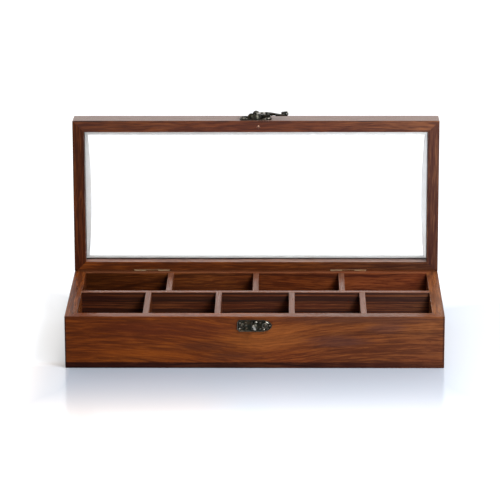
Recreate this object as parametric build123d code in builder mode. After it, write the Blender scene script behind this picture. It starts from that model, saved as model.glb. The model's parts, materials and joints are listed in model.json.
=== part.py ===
from build123d import *
import os
from math import cos, radians, sin

# Wooden spice box with nine compartments and a framed glass lid.
# Millimetres. The origin is the middle of the underside, +Z is up and -Y is the latch side.
# The lid is exported standing open, as it rests against the back rim.

os.makedirs("parts", exist_ok=True)

# Overall sizes
box_width = 305.0
box_depth = 129.3
base_height = 43.5
lid_thickness = 21.0
seam_gap = 0.08

# Base walls, floor and dividers
wall_front = 9.7
wall_side = 9.7
wall_back = 7.6
floor_thickness = 5.0
divider_thickness = 4.8
divider_drop = 0.2
long_divider_front = 66.9
back_divider_x = [-71.4, 0.0, 71.4]
front_divider_x = [-87.7, -29.9, 29.9, 87.7]

# Lid frame and glass
rail_front = 9.65
rail_side = 9.65
rail_back = 8.2
glass_thickness = 2.0
glass_inset = 9.9
glass_bite = 3.0
groove_clearance = 0.05
sealant_width = 2.5
sealant_side_width = 4.6
sealant_thickness = 1.6

# Eased edges
corner_ease = 0.9
rim_ease = 0.6
inner_ease = 0.35
floor_ease = 0.7
lid_ease = 0.7

# Hinges
pivot_inset = 2.2
open_angle = 91.75
knuckle_radius = 1.35
hinge_pin_radius = 0.55
pin_head_radius = 0.95
hinge_length = 30.0
knuckle_gap = 0.15
leaf_thickness = 0.8
leaf_depth = 8.0
hinge_x = {"hinge_left": -87.5, "hinge_right": 77.5}
slot_clearance = 0.05
leaf_offset = 0.9
pocket_radius = 1.5
pocket_lip = 0.35

# Brads and nails
brad_radius = 0.6
brad_head_radius = 1.0
brad_length = 6.2
bottom_brad_radius = 0.7
bottom_brad_length = 14.0
bottom_brad_head_radius = 1.4
nail_radius = 0.6
nail_head_radius = 1.35

# Latch
latch_x = 0.3
lid_plate_start = -13.2
lid_plate_end = 13.4
base_plate_start = -13.8
base_plate_end = 14.0
plate_height = 9.7
plate_thickness = 1.1
lid_plate_rise = 7.15
catch_drop = 7.45
boss_height = 4.5
ridge_height = 3.3
hook_thickness = 1.0
hook_low = 2.95
hook_hub_radius = 2.9
hook_reach = 26.7
rivet_radius = 1.3
rivet_clearance = 0.05
stud_neck_radius = 1.1
stud_head_radius = 2.4
stud_head_low = 5.0
notch_radius = 1.4

# Derived positions
half_width = box_width / 2
front_y = -box_depth / 2
back_y = box_depth / 2
inner_x = half_width - wall_side
inner_front_y = front_y + wall_front
inner_back_y = back_y - wall_back
lid_bottom = base_height + seam_gap
lid_inner_x = half_width - rail_side
lid_inner_front_y = front_y + rail_front
lid_inner_back_y = back_y - rail_back
pivot_y = back_y - pivot_inset
pivot_z = lid_bottom + pivot_inset
divider_height = base_height - divider_drop - floor_thickness
long_divider_y = front_y + long_divider_front + divider_thickness / 2
hook_pivot_z = lid_bottom + lid_plate_rise
catch_z = base_height - catch_drop
catch_reach = hook_pivot_z - catch_z
knuckle_length = (hinge_length - 2 * knuckle_gap) / 3
outer_knuckle_x = knuckle_length + knuckle_gap
leaf_y = pivot_y + leaf_offset
glass_low = lid_bottom + glass_inset

hinge_axis = Axis((0, pivot_y, pivot_z), (1, 0, 0))


def opened(piece):
    """Turn a lid piece from its closed place back to where the open lid rests."""
    return piece.rotate(hinge_axis, -open_angle)


# Carcass of the base, with its edges eased, to be cut into four mitred walls
with BuildPart() as carcass:
    with BuildSketch(Plane.XY.offset(floor_thickness)):
        Rectangle(box_width, box_depth)
        with Locations((0, (inner_front_y + inner_back_y) / 2)):
            Rectangle(2 * inner_x, inner_back_y - inner_front_y, mode=Mode.SUBTRACT)
    extrude(amount=base_height - floor_thickness)
    upright = carcass.edges().filter_by(Axis.Z)
    fillet(upright.filter_by(lambda e: abs(e.center().X) > half_width - 0.1), corner_ease)
    rim = carcass.faces().sort_by(Axis.Z)[-1]
    fillet(rim.outer_wire().edges(), rim_ease)
    rim = carcass.faces().sort_by(Axis.Z)[-1]
    fillet(rim.inner_wires()[0].edges(), inner_ease)

bottom_brad_places = [(x, front_y + wall_front / 2) for x in (-130, -65, 0, 65, 130)]
bottom_brad_places += [(x, back_y - wall_back / 2) for x in (-130, -65, 0, 65, 130)]
bottom_brad_places += [(x, 0) for x in (-half_width + wall_side / 2, half_width - wall_side / 2)]

# Front wall
with BuildPart() as front_wall:
    add(carcass.part)
    with BuildSketch():
        Polygon(
            (-half_width, front_y),
            (half_width, front_y),
            (inner_x, inner_front_y),
            (-inner_x, inner_front_y),
            align=None,
        )
    extrude(amount=base_height, mode=Mode.INTERSECT)
    with Locations(*[(x, y, floor_thickness) for x, y in bottom_brad_places if y < front_y + wall_front]):
        Cylinder(
            bottom_brad_radius,
            bottom_brad_length - floor_thickness + 0.3,
            align=(Align.CENTER, Align.CENTER, Align.MIN),
            mode=Mode.SUBTRACT,
        )
    with Locations(Plane((0, front_y, catch_z), x_dir=(1, 0, 0), z_dir=(0, -1, 0))):
        with Locations((latch_x, 0, 0)):
            Cylinder(stud_neck_radius, 7.0, align=(Align.CENTER, Align.CENTER, Align.MAX), mode=Mode.SUBTRACT)
        with Locations((-10.5, 0, 0), (8.3, 0, 0)):
            Cylinder(nail_radius, 7.0, align=(Align.CENTER, Align.CENTER, Align.MAX), mode=Mode.SUBTRACT)

# Back wall, with a slot for each hinge leaf and its brad holes
with BuildPart() as back_wall:
    add(carcass.part)
    with BuildSketch():
        Polygon(
            (-inner_x, inner_back_y),
            (inner_x, inner_back_y),
            (inner_x + wall_back, back_y),
            (-inner_x - wall_back, back_y),
            align=None,
        )
    extrude(amount=base_height, mode=Mode.INTERSECT)
    with Locations(*[(x, y, floor_thickness) for x, y in bottom_brad_places if y > back_y - wall_back]):
        Cylinder(
            bottom_brad_radius,
            bottom_brad_length - floor_thickness + 0.3,
            align=(Align.CENTER, Align.CENTER, Align.MIN),
            mode=Mode.SUBTRACT,
        )
    with Locations(*[(x, leaf_y, base_height) for x in hinge_x.values()]):
        Box(
            hinge_length + 0.4,
            leaf_thickness + 2 * slot_clearance,
            leaf_depth + 0.2,
            align=(Align.CENTER, Align.CENTER, Align.MAX),
            mode=Mode.SUBTRACT,
        )
    with Locations(Plane((0, back_y, base_height - leaf_depth / 2), x_dir=(-1, 0, 0), z_dir=(0, 1, 0))):
        with Locations(*[(-x + side, 0, 0) for x in hinge_x.values() for side in (-9, 9)]):
            Cylinder(brad_radius, brad_length, align=(Align.CENTER, Align.CENTER, Align.MAX), mode=Mode.SUBTRACT)
            Cylinder(brad_head_radius, 0.4, align=(Align.CENTER, Align.CENTER, Align.MAX), mode=Mode.SUBTRACT)


def side_outline(side):
    """Plan of a side wall, mitred at both ends."""
    return [
        (side * half_width, front_y),
        (side * half_width, back_y),
        (side * (inner_x + wall_back), back_y),
        (side * inner_x, inner_back_y),
        (side * inner_x, inner_front_y),
    ]


# Left wall
with BuildPart() as left_wall:
    add(carcass.part)
    with BuildSketch():
        Polygon(*side_outline(-1), align=None)
    extrude(amount=base_height, mode=Mode.INTERSECT)
    with Locations((-half_width + wall_side / 2, 0, floor_thickness)):
        Cylinder(
            bottom_brad_radius,
            bottom_brad_length - floor_thickness + 0.3,
            align=(Align.CENTER, Align.CENTER, Align.MIN),
            mode=Mode.SUBTRACT,
        )

# Right wall
with BuildPart() as right_wall:
    add(carcass.part)
    with BuildSketch():
        Polygon(*side_outline(1), align=None)
    extrude(amount=base_height, mode=Mode.INTERSECT)
    with Locations((half_width - wall_side / 2, 0, floor_thickness)):
        Cylinder(
            bottom_brad_radius,
            bottom_brad_length - floor_thickness + 0.3,
            align=(Align.CENTER, Align.CENTER, Align.MIN),
            mode=Mode.SUBTRACT,
        )

# Bottom panel, under the walls
with BuildPart() as bottom_panel:
    with BuildSketch():
        Rectangle(box_width, box_depth)
    extrude(amount=floor_thickness)
    fillet(bottom_panel.edges().filter_by(Axis.Z), corner_ease)
    fillet(bottom_panel.faces().sort_by(Axis.Z)[0].outer_wire().edges(), floor_ease)
    with Locations(*[(x, y, 0) for x, y in bottom_brad_places]):
        Cylinder(
            bottom_brad_radius,
            floor_thickness,
            align=(Align.CENTER, Align.CENTER, Align.MIN),
            mode=Mode.SUBTRACT,
        )
        Cylinder(
            bottom_brad_head_radius,
            0.9,
            align=(Align.CENTER, Align.CENTER, Align.MIN),
            mode=Mode.SUBTRACT,
        )

# Brads that hold the bottom panel to the walls
with BuildPart() as bottom_brads:
    with Locations(*[(x, y, 0.3) for x, y in bottom_brad_places]):
        Cylinder(
            bottom_brad_radius - 0.02,
            bottom_brad_length - 0.3,
            align=(Align.CENTER, Align.CENTER, Align.MIN),
        )
        Cylinder(
            bottom_brad_head_radius - 0.05,
            0.5,
            align=(Align.CENTER, Align.CENTER, Align.MIN),
        )

# Long divider between the side walls
with BuildPart() as long_divider:
    with BuildSketch(Plane.XY.offset(floor_thickness)):
        with Locations((0, long_divider_y)):
            Rectangle(2 * inner_x, divider_thickness)
    extrude(amount=divider_height)
    fillet(long_divider.faces().sort_by(Axis.Z)[-1].edges().filter_by(Axis.X), inner_ease)


def cross_divider(x, y_low, y_high):
    """Short divider that runs front to back at x."""
    with BuildPart() as piece:
        with BuildSketch(Plane.XY.offset(floor_thickness)):
            with Locations((x, (y_low + y_high) / 2)):
                Rectangle(divider_thickness, y_high - y_low)
        extrude(amount=divider_height)
        fillet(piece.faces().sort_by(Axis.Z)[-1].edges().filter_by(Axis.Y), inner_ease)
    return piece.part


cross_dividers = {}
for number, x in enumerate(back_divider_x, start=1):
    low = long_divider_y + divider_thickness / 2
    cross_dividers["back_divider_%d" % number] = cross_divider(x, low, inner_back_y)
for number, x in enumerate(front_divider_x, start=1):
    high = long_divider_y - divider_thickness / 2
    cross_dividers["front_divider_%d" % number] = cross_divider(x, inner_front_y, high)

# Lid frame, closed, with its edges eased and its glass groove, to be cut into rails and stiles
with BuildPart() as lid_frame:
    with BuildSketch(Plane.XY.offset(lid_bottom)):
        Rectangle(box_width, box_depth)
        with Locations((0, (lid_inner_front_y + lid_inner_back_y) / 2)):
            Rectangle(2 * lid_inner_x, lid_inner_back_y - lid_inner_front_y, mode=Mode.SUBTRACT)
    extrude(amount=lid_thickness)
    upright = lid_frame.edges().filter_by(Axis.Z)
    fillet(upright.filter_by(lambda e: abs(e.center().X) > half_width - 0.1), corner_ease)
    fillet(lid_frame.faces().sort_by(Axis.Z)[-1].outer_wire().edges(), lid_ease)
    underside = lid_frame.faces().filter_by(Axis.Z).sort_by(Axis.Z)[0]
    fillet(underside.outer_wire().edges(), rim_ease)
    with BuildSketch(Plane.YZ):
        with Locations((back_y - pivot_inset / 2 + 0.5, lid_bottom + pivot_inset / 2 - 0.5)):
            Rectangle(pivot_inset + 1, pivot_inset + 1)
        with Locations((pivot_y, pivot_z)):
            Circle(pivot_inset, mode=Mode.SUBTRACT)
    extrude(amount=box_width, both=True, mode=Mode.SUBTRACT)
    for face in (lid_frame.faces().filter_by(Axis.Z).sort_by(Axis.Z)[i] for i in (0, -1)):
        fillet(face.inner_wires()[0].edges(), inner_ease)
    with BuildSketch(Plane.XY.offset(glass_low - groove_clearance)):
        with Locations((0, (lid_inner_front_y + lid_inner_back_y) / 2)):
            Rectangle(
                2 * (lid_inner_x + glass_bite + 0.2),
                lid_inner_back_y - lid_inner_front_y + 2 * (glass_bite + 0.2),
            )
    extrude(amount=glass_thickness + 2 * groove_clearance, mode=Mode.SUBTRACT)

# Lid front rail, with holes for the latch plate's nails, the hook's rivet and the face pin
with BuildPart() as lid_front_rail:
    add(lid_frame.part)
    with BuildSketch(Plane.XY.offset(lid_bottom)):
        Polygon(
            (-half_width, front_y),
            (half_width, front_y),
            (lid_inner_x, lid_inner_front_y),
            (-lid_inner_x, lid_inner_front_y),
            align=None,
        )
    extrude(amount=lid_thickness, mode=Mode.INTERSECT)
    with Locations(Plane((0, front_y, hook_pivot_z), x_dir=(1, 0, 0), z_dir=(0, -1, 0))):
        with Locations((latch_x, 0, 0)):
            Cylinder(rivet_radius, 5.5, align=(Align.CENTER, Align.CENTER, Align.MAX), mode=Mode.SUBTRACT)
        with Locations((-10.4, 0, 0), (10.4, 0, 0)):
            Cylinder(nail_radius, 5.5, align=(Align.CENTER, Align.CENTER, Align.MAX), mode=Mode.SUBTRACT)
    with Locations((2.1, front_y + 4.8, lid_bottom)):
        Cylinder(1.5, 0.7, align=(Align.CENTER, Align.CENTER, Align.MIN), mode=Mode.SUBTRACT)
        Cylinder(0.55, 3.4, align=(Align.CENTER, Align.CENTER, Align.MIN), mode=Mode.SUBTRACT)

# Lid back rail, with a channel for each hinge barrel, open to the back, and a slot for each lid leaf
with BuildPart() as lid_back_rail:
    add(lid_frame.part)
    with BuildSketch(Plane.XY.offset(lid_bottom)):
        Polygon(
            (-lid_inner_x, lid_inner_back_y),
            (lid_inner_x, lid_inner_back_y),
            (lid_inner_x + rail_back, back_y),
            (-lid_inner_x - rail_back, back_y),
            align=None,
        )
    extrude(amount=lid_thickness, mode=Mode.INTERSECT)
    with Locations(*[(x, pivot_y, pivot_z) for x in hinge_x.values()]):
        Cylinder(pocket_radius, hinge_length + 1.8, rotation=(0, 90, 0), mode=Mode.SUBTRACT)
        with Locations((0, pocket_lip, pocket_radius)):
            Box(
                hinge_length + 1.8,
                pivot_inset + 1,
                pocket_radius + pivot_inset + 1,
                align=(Align.CENTER, Align.MIN, Align.MAX),
                mode=Mode.SUBTRACT,
            )
        with Locations((0, leaf_offset, 0)):
            Box(
                hinge_length + 0.4,
                leaf_thickness + 2 * slot_clearance,
                knuckle_radius + leaf_depth + 0.2,
                align=(Align.CENTER, Align.CENTER, Align.MIN),
                mode=Mode.SUBTRACT,
            )
    with Locations(Plane((0, back_y, pivot_z + 6), x_dir=(-1, 0, 0), z_dir=(0, 1, 0))):
        with Locations(*[(-x + side, 0, 0) for x in hinge_x.values() for side in (-9, 9)]):
            Cylinder(brad_radius, 5.0, align=(Align.CENTER, Align.CENTER, Align.MAX), mode=Mode.SUBTRACT)
            Cylinder(brad_head_radius, 0.4, align=(Align.CENTER, Align.CENTER, Align.MAX), mode=Mode.SUBTRACT)


def stile_outline(side):
    """Plan of a lid stile, mitred at both ends."""
    return [
        (side * half_width, front_y),
        (side * half_width, back_y),
        (side * (lid_inner_x + rail_back), back_y),
        (side * lid_inner_x, lid_inner_back_y),
        (side * lid_inner_x, lid_inner_front_y),
    ]


# Lid left stile
with BuildPart() as lid_left_stile:
    add(lid_frame.part)
    with BuildSketch(Plane.XY.offset(lid_bottom)):
        Polygon(*stile_outline(-1), align=None)
    extrude(amount=lid_thickness, mode=Mode.INTERSECT)

# Lid right stile
with BuildPart() as lid_right_stile:
    add(lid_frame.part)
    with BuildSketch(Plane.XY.offset(lid_bottom)):
        Polygon(*stile_outline(1), align=None)
    extrude(amount=lid_thickness, mode=Mode.INTERSECT)

# Glass pane in the lid frame's groove
with BuildPart() as glass_pane:
    with BuildSketch(Plane.XY.offset(glass_low)):
        with Locations((0, (lid_inner_front_y + lid_inner_back_y) / 2)):
            Rectangle(
                2 * (lid_inner_x + glass_bite),
                lid_inner_back_y - lid_inner_front_y + 2 * glass_bite,
            )
    extrude(amount=glass_thickness)

# Bead of sealant round the pane, on its upper side, wider in the middle of each short side
sealant_low = glass_low + glass_thickness + groove_clearance
sealant_x = lid_inner_x - sealant_width
sealant_bow_x = lid_inner_x - sealant_side_width
sealant_front_y = lid_inner_front_y + sealant_width
sealant_back_y = lid_inner_back_y - sealant_width
sealant_middle_y = (lid_inner_front_y + lid_inner_back_y) / 2
with BuildPart() as glass_sealant:
    with BuildSketch(Plane.XY.offset(sealant_low)):
        with Locations((0, sealant_middle_y)):
            Rectangle(2 * lid_inner_x - 0.02, lid_inner_back_y - lid_inner_front_y - 0.02)
        with BuildLine():
            Line((-sealant_x, sealant_front_y), (sealant_x, sealant_front_y))
            ThreePointArc((sealant_x, sealant_front_y), (sealant_bow_x, sealant_middle_y), (sealant_x, sealant_back_y))
            Line((sealant_x, sealant_back_y), (-sealant_x, sealant_back_y))
            ThreePointArc((-sealant_x, sealant_back_y), (-sealant_bow_x, sealant_middle_y), (-sealant_x, sealant_front_y))
        make_face(mode=Mode.SUBTRACT)
    extrude(amount=sealant_thickness)
    inner_top = glass_sealant.faces().sort_by(Axis.Z)[-1].inner_wires()[0]
    chamfer(inner_top.edges(), 0.9)

# Bumper pin in the inner face of the lid's front rail
with BuildPart() as lid_face_pin:
    with BuildSketch(Plane.XZ):
        with BuildLine():
            Polyline((0, 0.08), (0.5, 0.1), (0.85, 0.3), (0.85, 0.66), (0.52, 0.66), (0.52, 3.3), (0, 3.3), (0, 0.08))
        make_face()
    revolve(axis=Axis.Z)
lid_face_pin_part = lid_face_pin.part.moved(Location((2.1, front_y + 4.8, lid_bottom)))


def base_leaf(x):
    """Hinge half in the base: two outer knuckles on a leaf that stands in the back wall's slot."""
    with BuildPart() as leaf:
        with Locations((x - outer_knuckle_x, pivot_y, pivot_z), (x + outer_knuckle_x, pivot_y, pivot_z)):
            Cylinder(knuckle_radius, knuckle_length, rotation=(0, 90, 0))
            with Locations((0, leaf_offset, 0)):
                Box(
                    knuckle_length,
                    leaf_thickness,
                    pivot_z - base_height + 1,
                    align=(Align.CENTER, Align.CENTER, Align.MAX),
                )
        with Locations((x, leaf_y, base_height - 0.1)):
            Box(
                hinge_length,
                leaf_thickness,
                leaf_depth - 0.1,
                align=(Align.CENTER, Align.CENTER, Align.MAX),
            )
        with Locations((x, pivot_y, pivot_z)):
            Cylinder(hinge_pin_radius + 0.01, hinge_length + 2, rotation=(0, 90, 0), mode=Mode.SUBTRACT)
        with Locations((x - 9, leaf_y, base_height - leaf_depth / 2), (x + 9, leaf_y, base_height - leaf_depth / 2)):
            Cylinder(brad_radius + 0.03, 3, rotation=(90, 0, 0), mode=Mode.SUBTRACT)
    return leaf.part


def lid_leaf(x):
    """Hinge half in the lid: the middle knuckle on a leaf that stands in the back rail's slot."""
    with BuildPart() as leaf:
        with Locations((x, pivot_y, pivot_z)):
            Cylinder(knuckle_radius, knuckle_length, rotation=(0, 90, 0))
            with Locations((0, leaf_offset, 0)):
                Box(
                    knuckle_length,
                    leaf_thickness,
                    knuckle_radius + 1,
                    align=(Align.CENTER, Align.CENTER, Align.MIN),
                )
        with Locations((x, leaf_y, pivot_z + pocket_radius + 0.2)):
            Box(
                hinge_length,
                leaf_thickness,
                knuckle_radius + leaf_depth - pocket_radius - 0.2,
                align=(Align.CENTER, Align.CENTER, Align.MIN),
            )
        with Locations((x, pivot_y, pivot_z)):
            Cylinder(hinge_pin_radius + 0.05, hinge_length + 2, rotation=(0, 90, 0), mode=Mode.SUBTRACT)
        with Locations((x - 9, leaf_y, pivot_z + 6), (x + 9, leaf_y, pivot_z + 6)):
            Cylinder(brad_radius + 0.03, 3, rotation=(90, 0, 0), mode=Mode.SUBTRACT)
    return leaf.part


def hinge_pin(x):
    """Hinge pin with a low head at each end."""
    with BuildPart() as pin:
        with Locations((x, pivot_y, pivot_z)):
            Cylinder(hinge_pin_radius, hinge_length + 0.6, rotation=(0, 90, 0))
        with Locations((x - hinge_length / 2 - 0.35, pivot_y, pivot_z), (x + hinge_length / 2 + 0.35, pivot_y, pivot_z)):
            Cylinder(pin_head_radius, 0.6, rotation=(0, 90, 0))
    return pin.part


def brads(z, length):
    """Brads driven from the back face through the hinge leaves at height z."""
    with BuildPart() as group:
        with Locations(Plane((0, back_y, z), x_dir=(-1, 0, 0), z_dir=(0, 1, 0))):
            with Locations(*[(-x + side, 0, -0.1) for x in hinge_x.values() for side in (-9, 9)]):
                Cylinder(brad_radius - 0.02, length - 0.2, align=(Align.CENTER, Align.CENTER, Align.MAX))
                Cylinder(brad_head_radius - 0.03, 0.28, align=(Align.CENTER, Align.CENTER, Align.MAX))
    return group.part


def latch_plate(start, end, place):
    """Latch backplate: square at its left end, drawn to a leaf point at its right end."""
    half = plate_height / 2
    shoulder = end - 8.0
    with BuildPart() as plate:
        with BuildSketch(place):
            with BuildLine():
                Line((start, 0), (start, half))
                Line((start, half), (shoulder, half))
                ThreePointArc((shoulder, half), (shoulder + 5.2, half - 1.8), (end, 0))
                mirror(about=Plane.XZ)
            make_face()
        extrude(amount=plate_thickness)
        fillet(plate.faces().sort_by(Axis.Y)[0].outer_wire().edges(), 0.25)
    return plate.part


base_plate_plane = Plane((0, front_y, catch_z), x_dir=(1, 0, 0), z_dir=(0, -1, 0))
lid_plate_plane = Plane((0, front_y, hook_pivot_z), x_dir=(1, 0, 0), z_dir=(0, -1, 0))

# Latch plate on the base
with BuildPart() as latch_base_plate:
    add(latch_plate(base_plate_start, base_plate_end, base_plate_plane))
    with Locations(base_plate_plane):
        with Locations((latch_x, 0, 0)):
            Cylinder(stud_neck_radius + 0.02, 3, mode=Mode.SUBTRACT)
        with Locations((-10.5, 0, 0), (8.3, 0, 0)):
            Cylinder(nail_radius + 0.03, 3, mode=Mode.SUBTRACT)

# Latch plate on the lid's front edge, with a raised boss under the hook and a ridge beside its strap
with BuildPart() as latch_lid_plate:
    add(latch_plate(lid_plate_start, lid_plate_end, lid_plate_plane))
    with BuildSketch(Plane((latch_x, front_y, hook_pivot_z), x_dir=(1, 0, 0), z_dir=(0, 0, 1))):
        with BuildLine():
            Line((0, -0.6), (4.8, -0.6))
            Line((4.8, -0.6), (4.8, -plate_thickness))
            Line((4.8, -plate_thickness), (4.5, -1.9))
            ThreePointArc((4.5, -1.9), (3.5, -3.4), (2.7, -boss_height))
            Line((2.7, -boss_height), (0, -boss_height))
            Line((0, -boss_height), (0, -0.6))
        make_face()
    revolve(axis=Axis((latch_x, front_y, hook_pivot_z), (0, 1, 0)))
    with BuildSketch(lid_plate_plane):
        Polygon((0.6, 1.7), (0.6, 4.2), (5.6, 4.2), (9.8, 3.1), (11.9, 1.9), (11.9, 1.7), align=None)
    extrude(amount=ridge_height)
    with Locations(lid_plate_plane):
        with Locations((latch_x, 0, 0)):
            Cylinder(rivet_radius + 0.02, 12, mode=Mode.SUBTRACT)
        with Locations((-10.4, 0, 0), (10.4, 0, 0)):
            Cylinder(nail_radius + 0.03, 3, mode=Mode.SUBTRACT)


def latch_nails(place, places_x, depth):
    """Dome-headed nails that hold a latch plate."""
    with BuildPart() as group:
        with Locations(place):
            with Locations(*[(x, 0, 0) for x in places_x]):
                Cylinder(nail_radius - 0.01, depth, align=(Align.CENTER, Align.CENTER, Align.MAX))
                Cylinder(nail_radius - 0.01, 1.3, align=(Align.CENTER, Align.CENTER, Align.MIN))
            with Locations(*[(x, 0, plate_thickness + 0.02) for x in places_x]):
                Cylinder(nail_head_radius, 0.3, align=(Align.CENTER, Align.CENTER, Align.MIN))
                Cone(nail_head_radius, 0.7, 0.8, align=(Align.CENTER, Align.CENTER, Align.MIN))
    return group.part


catch_plane = Plane((latch_x, front_y, catch_z), x_dir=(1, 0, 0), z_dir=(0, -1, 0))
rivet_plane = Plane((latch_x, front_y, hook_pivot_z), x_dir=(1, 0, 0), z_dir=(0, -1, 0))

# Catch stud, a mushroom head on a neck, with +Z out of the wood until it is placed
with BuildPart() as latch_stud:
    with BuildSketch(Plane.XZ):
        with BuildLine():
            Polyline(
                (0, -6.9),
                (stud_neck_radius - 0.02, -6.9),
                (stud_neck_radius - 0.02, plate_thickness + 0.02),
                (2.3, plate_thickness + 0.02),
                (2.1, plate_thickness + 0.8),
                (stud_neck_radius, plate_thickness + 1.2),
                (stud_neck_radius, stud_head_low),
                (stud_head_radius - 0.3, stud_head_low),
                (stud_head_radius, stud_head_low + 0.3),
            )
            Spline(
                (stud_head_radius, stud_head_low + 0.3),
                (1.6, stud_head_low + 1.05),
                (0, stud_head_low + 1.35),
                tangents=[(0, 1), (-1, 0)],
            )
            Line((0, stud_head_low + 1.35), (0, -6.9))
        make_face()
    revolve(axis=Axis.Z)
latch_stud_part = latch_stud.part.moved(catch_plane.location)

# Rivet that the hook turns on, with +Z out of the wood until it is placed
rivet_head_low = boss_height + hook_thickness + 0.16
with BuildPart() as latch_pivot_rivet:
    with BuildSketch(Plane.XZ):
        with BuildLine():
            Polyline(
                (0, -5.4),
                (rivet_radius, -5.4),
                (rivet_radius, rivet_head_low),
                (2.3, rivet_head_low),
                (2.3, rivet_head_low + 0.25),
            )
            Spline(
                (2.3, rivet_head_low + 0.25),
                (1.4, rivet_head_low + 1.2),
                (0, rivet_head_low + 1.55),
                tangents=[(0, 1), (-1, 0)],
            )
            Line((0, rivet_head_low + 1.55), (0, -5.4))
        make_face()
    revolve(axis=Axis.Z)
latch_pivot_rivet_part = latch_pivot_rivet.part.moved(rivet_plane.location)

# Swing hook, pointing to +X, whose strap dips to the catch and curls over at its end
hook_side_plane = Plane((latch_x, front_y, hook_pivot_z), x_dir=(1, 0, 0), z_dir=(0, 0, -1))
hook_face_plane = Plane((latch_x, front_y, hook_pivot_z), x_dir=(1, 0, 0), z_dir=(0, -1, 0))
hub_low = boss_height + 0.08
hub_high = hub_low + hook_thickness
strap_end_x = 20.6
strap_high = hook_low + hook_thickness
curl_x = hook_reach - 1.5
curl_middle = hook_low + 1.5
with BuildPart() as latch_hook:
    with BuildSketch(hook_side_plane):
        with BuildLine():
            Polyline(
                (-4, hub_low),
                (3.2, hub_low),
                (strap_end_x, hook_low),
                (curl_x, hook_low),
            )
            ThreePointArc((curl_x, hook_low), (hook_reach, curl_middle), (curl_x, hook_low + 3.0))
            Line((curl_x, hook_low + 3.0), (strap_end_x + 0.9, hook_low + 2.8))
            Line((strap_end_x + 0.9, hook_low + 2.8), (strap_end_x + 1.0, hook_low + 2.0))
            Line((strap_end_x + 1.0, hook_low + 2.0), (curl_x, hook_low + 2.1))
            ThreePointArc(
                (curl_x, hook_low + 2.1),
                (curl_x + 0.55, curl_middle),
                (curl_x, strap_high),
            )
            Polyline(
                (curl_x, strap_high),
                (strap_end_x, strap_high),
                (3.2, hub_high),
                (-4, hub_high),
                (-4, hub_low),
            )
        make_face()
    extrude(amount=8, both=True)
    with BuildSketch(hook_face_plane):
        Circle(hook_hub_radius)
        with BuildLine():
            Spline((-0.5, 2.85), (5, 1.7), (10, 2.1), (catch_reach, 3.7), (18, 2.7), (21.5, 2.0))
            Line((21.5, 2.0), (25.2, 2.4))
            ThreePointArc((25.2, 2.4), (27.2, 0.4), (25.2, -1.6))
            Line((25.2, -1.6), (21.5, -1.1))
            Line((21.5, -1.1), (catch_reach + 2.6, -1.9))
            Line((catch_reach + 2.6, -1.9), (catch_reach - 2.4, -1.5))
            Spline((catch_reach - 2.4, -1.5), (9, -0.7), (5, -0.9), (-0.5, -2.85))
            Line((-0.5, -2.85), (-0.5, 2.85))
        make_face()
    extrude(amount=12, mode=Mode.INTERSECT)
    with BuildSketch(hook_face_plane):
        with Locations((catch_reach, 0)):
            Circle(notch_radius)
        with Locations((catch_reach, -2)):
            Rectangle(2 * notch_radius, 4)
        Circle(rivet_radius + rivet_clearance)
    extrude(amount=12, mode=Mode.SUBTRACT)

# Export, with the lid and the hook in their open rest places
base_pieces = {
    "front_wall": front_wall.part,
    "back_wall": back_wall.part,
    "left_wall": left_wall.part,
    "right_wall": right_wall.part,
    "bottom_panel": bottom_panel.part,
    "bottom_brads": bottom_brads.part,
    "long_divider": long_divider.part,
    "hinge_base_brads": brads(base_height - leaf_depth / 2, brad_length),
    "latch_base_plate": latch_base_plate.part,
    "latch_base_nails": latch_nails(base_plate_plane, (-10.5, 8.3), 6.9),
    "latch_stud": latch_stud_part,
}
base_pieces.update(cross_dividers)
lid_pieces = {
    "lid_front_rail": lid_front_rail.part,
    "lid_back_rail": lid_back_rail.part,
    "lid_left_stile": lid_left_stile.part,
    "lid_right_stile": lid_right_stile.part,
    "glass_pane": glass_pane.part,
    "glass_sealant": glass_sealant.part,
    "lid_face_pin": lid_face_pin_part,
    "hinge_lid_brads": brads(pivot_z + 6, 5.0),
    "latch_lid_plate": latch_lid_plate.part,
    "latch_lid_nails": latch_nails(lid_plate_plane, (-10.4, 10.4), 5.4),
    "latch_pivot_rivet": latch_pivot_rivet_part,
    "latch_hook": latch_hook.part,
}
for name, x in hinge_x.items():
    base_pieces[name + "_base_leaf"] = base_leaf(x)
    base_pieces[name + "_pin"] = hinge_pin(x)
    lid_pieces[name + "_lid_leaf"] = lid_leaf(x)

for name, piece in base_pieces.items():
    piece.label = name
    export_step(piece, "parts/%s.step" % name)
for name, piece in lid_pieces.items():
    turned = opened(piece)
    turned.label = name
    export_step(turned, "parts/%s.step" % name)

hook_offset_y = front_y - pivot_y
hook_offset_z = hook_pivot_z - pivot_z
turn = radians(-open_angle)
print("hinge axis y, z:", round(pivot_y, 3), round(pivot_z, 3))
print(
    "hook pivot x, y, z:",
    latch_x,
    round(pivot_y + hook_offset_y * cos(turn) - hook_offset_z * sin(turn), 4),
    round(pivot_z + hook_offset_y * sin(turn) + hook_offset_z * cos(turn), 4),
)
print("hook axis:", (0, round(-cos(turn), 6), round(-sin(turn), 6)))
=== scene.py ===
import json
import math

import bmesh
import bpy
from bpy.props import FloatProperty, FloatVectorProperty, PointerProperty
from mathutils import Matrix, Vector


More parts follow.
